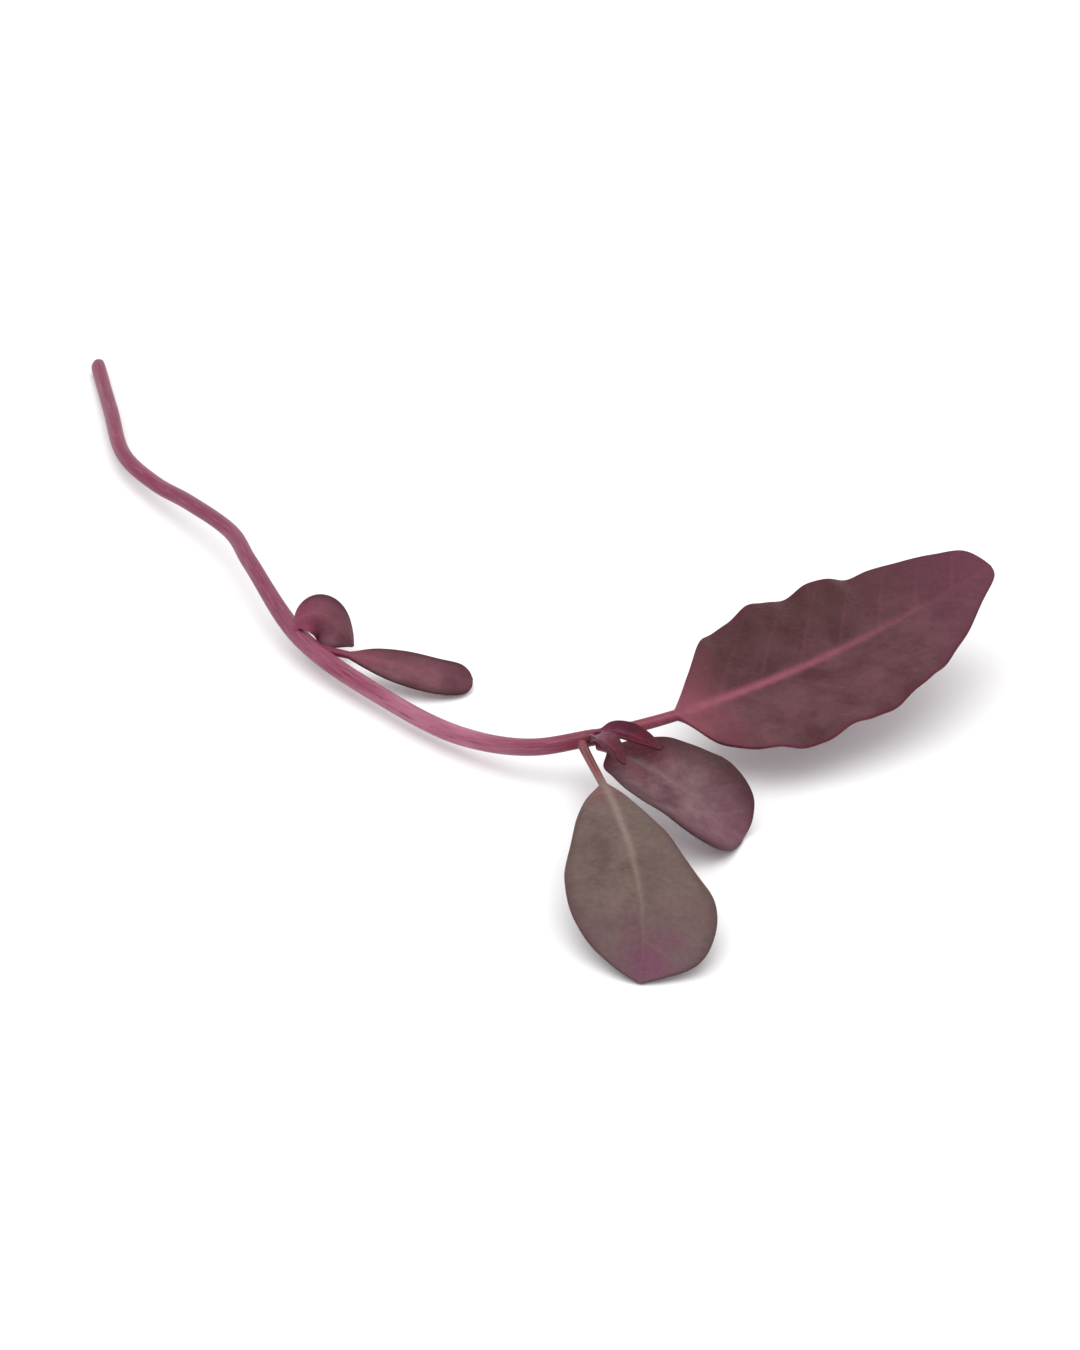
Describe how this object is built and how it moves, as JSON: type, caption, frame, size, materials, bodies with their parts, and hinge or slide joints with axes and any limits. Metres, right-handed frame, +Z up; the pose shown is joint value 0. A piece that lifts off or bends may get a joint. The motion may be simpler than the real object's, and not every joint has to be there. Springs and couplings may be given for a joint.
{
  "type": "amaranth microgreen",
  "caption": "Cut red amaranth seedling lying down: a thin bent magenta stem with narrow seed leaves partway along and wavy dark purple leaves at its tip.",
  "frame": {"origin": "middle of the foot of the bounding box, on the surface that the seedling lies on", "axes": "+Z up from the surface, +Y from the leafy end towards the cut end of the stem, which is the longest way"},
  "size_m": [0.0598, 0.0766, 0.0074],
  "materials": {
    "stem": "moist satin skin, magenta with paler streaks along it",
    "seed_leaf": "soft satin leaf, plum brown above and rose magenta beneath",
    "large_leaf": "soft satin leaf, dark maroon brown above and violet beneath, with rose veins",
    "lower_leaf": "soft satin leaf, olive brown with a magenta blotch near its tip",
    "cupped_leaf": "soft satin leaf, plum brown with magenta margins",
    "young_leaf": "soft folded leaf, deep magenta"
  },
  "bodies": {
    "root": {"stem": "stem", "large_leaf": "large_leaf", "lower_leaf": "lower_leaf", "cupped_leaf": "cupped_leaf", "curled_seed_leaf": "seed_leaf", "open_seed_leaf": "seed_leaf", "upper_young_leaf": "young_leaf", "front_young_leaf": "young_leaf"}
  },
  "joints": []
}
